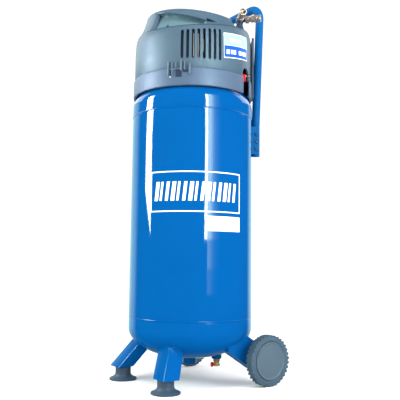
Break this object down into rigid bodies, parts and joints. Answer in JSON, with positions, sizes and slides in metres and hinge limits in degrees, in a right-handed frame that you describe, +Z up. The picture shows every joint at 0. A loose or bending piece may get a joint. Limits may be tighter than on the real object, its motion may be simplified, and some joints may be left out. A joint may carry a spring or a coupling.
{
  "type": "air compressor",
  "caption": "Upright air compressor: a tall round tank on rubber feet and wheels, a vented pump housing on top, a tubular push handle and quick couplers at the back.",
  "frame": {"origin": "middle of the bounding box at floor level", "axes": "+Z up along the tank, +Y towards the wheels and handle, -Y towards the feet, +X towards the switch and air outlets"},
  "size_m": [0.3548, 0.3458, 1.0036],
  "materials": {
    "tank_paint": "glossy sprayed enamel",
    "housing_plastic": "satin metallic grey-blue moulding",
    "dark_plastic": "dark grained moulding",
    "foot_rubber": "matt grey rubber",
    "tyre_rubber": "matt grey rubber tread",
    "wheel_plastic": "satin grey moulding",
    "steel": "zinc plated",
    "dark_steel": "black sheet steel",
    "aluminium": "as cast",
    "copper": "bare copper",
    "brass": "turned brass",
    "red_plastic": "glossy red moulding",
    "white_plastic": "plain moulding"
  },
  "bodies": {
    "frame": {"tank_shell": "tank_paint", "tank_head_top": "tank_paint", "tank_head_bottom": "tank_paint", "leg_front_left": "tank_paint", "leg_front_right": "tank_paint", "wheel_bracket_left": "tank_paint", "wheel_bracket_right": "tank_paint", "handle": "tank_paint", "housing_band": "housing_plastic", "housing_drum": "housing_plastic", "housing_cap": "housing_plastic", "rear_cover": "dark_plastic", "pressure_switch": "dark_plastic", "intake_filter": "dark_plastic", "outlet_cross": "dark_plastic", "foot_left": "foot_rubber", "foot_right": "foot_rubber", "rubber_mount_1": "foot_rubber", "rubber_mount_2": "foot_rubber", "rubber_mount_3": "foot_rubber", "rubber_mount_4": "foot_rubber", "coupler_front": "steel", "coupler_rear": "steel", "foot_bolt_left": "steel", "foot_bolt_right": "steel", "axle_bolt_left": "steel", "axle_bolt_right": "steel", "handle_bolts_left": "steel", "handle_bolts_right": "steel", "motor_stator": "steel", "valve_plate": "steel", "outlet_riser": "steel", "pressure_gauge": "steel", "pump_platform": "dark_steel", "pump_cradle": "dark_steel", "crankcase": "aluminium", "cylinder": "aluminium", "cylinder_head": "aluminium", "motor_winding": "copper", "delivery_pipe": "copper", "drain_valve": "brass", "check_valve": "brass", "safety_valve": "brass"},
    "wheel_left": {"wheel_tyre_left": "tyre_rubber", "wheel_hub_left": "wheel_plastic", "wheel_cap_left": "wheel_plastic"},
    "wheel_right": {"wheel_tyre_right": "tyre_rubber", "wheel_hub_right": "wheel_plastic", "wheel_cap_right": "wheel_plastic"},
    "drain_screw": {"drain_knob": "red_plastic"},
    "switch": {"switch_knob": "red_plastic"},
    "regulator": {"regulator_knob": "dark_plastic"},
    "needle": {"gauge_needle": "red_plastic"},
    "safety_pull": {"safety_ring": "steel"},
    "sleeve_front": {"coupler_sleeve_front": "steel"},
    "sleeve_rear": {"coupler_sleeve_rear": "steel"},
    "motor_shaft": {"motor_rotor": "steel", "cooling_fan": "white_plastic", "crank_disc": "dark_steel"},
    "piston": {"connecting_rod": "aluminium"}
  },
  "joints": [
    {"name": "wheel_left_spin", "type": "hinge", "parent": "frame", "child": "wheel_left", "pos_m": [-0.165, 0.1101, 0.0608], "axis": [1, 0, 0], "continuous": true},
    {"name": "wheel_right_spin", "type": "hinge", "parent": "frame", "child": "wheel_right", "pos_m": [0.165, 0.1101, 0.0608], "axis": [1, 0, 0], "continuous": true},
    {"name": "drain_turn", "type": "hinge", "parent": "frame", "child": "drain_screw", "pos_m": [0.047, 0.0447, 0.041], "axis": [-0.3746, -0.9272, 0], "range_deg": [0, 270]},
    {"name": "switch_turn", "type": "hinge", "parent": "frame", "child": "switch", "pos_m": [0.13592, 0.05834, 0.757], "axis": [0.891, 0.454, 0], "range_deg": [0, 90]},
    {"name": "regulator_turn", "type": "hinge", "parent": "frame", "child": "regulator", "pos_m": [0, -0.0053, 0.8], "axis": [0.1564, 0.9877, 0], "range_deg": [-135, 135]},
    {"name": "needle_turn", "type": "hinge", "parent": "frame", "child": "needle", "pos_m": [0, -0.0053, 0.8], "axis": [0.1392, -0.9903, 0], "range_deg": [0, 270], "stiffness_Nm_per_rad": 0.0001},
    {"name": "safety_pull_slide", "type": "slide", "parent": "frame", "child": "safety_pull", "axis": [0.891, 0.454, 0], "range_m": [0, 0.004], "stiffness_N_per_m": 400},
    {"name": "sleeve_front_slide", "type": "slide", "parent": "frame", "child": "sleeve_front", "axis": [0.866, -0.5, 0], "range_m": [-0.004, 0], "stiffness_N_per_m": 800},
    {"name": "sleeve_rear_slide", "type": "slide", "parent": "frame", "child": "sleeve_rear", "axis": [0.788, 0.6157, 0], "range_m": [-0.004, 0], "stiffness_N_per_m": 800},
    {"name": "motor_spin", "type": "hinge", "parent": "frame", "child": "motor_shaft", "pos_m": [0, -0.0053, 0.843], "axis": [1, 0, 0], "continuous": true},
    {"name": "piston_slide", "type": "slide", "parent": "frame", "child": "piston", "axis": [0, 0, 1], "range_m": [-0.028, 0]}
  ]
}
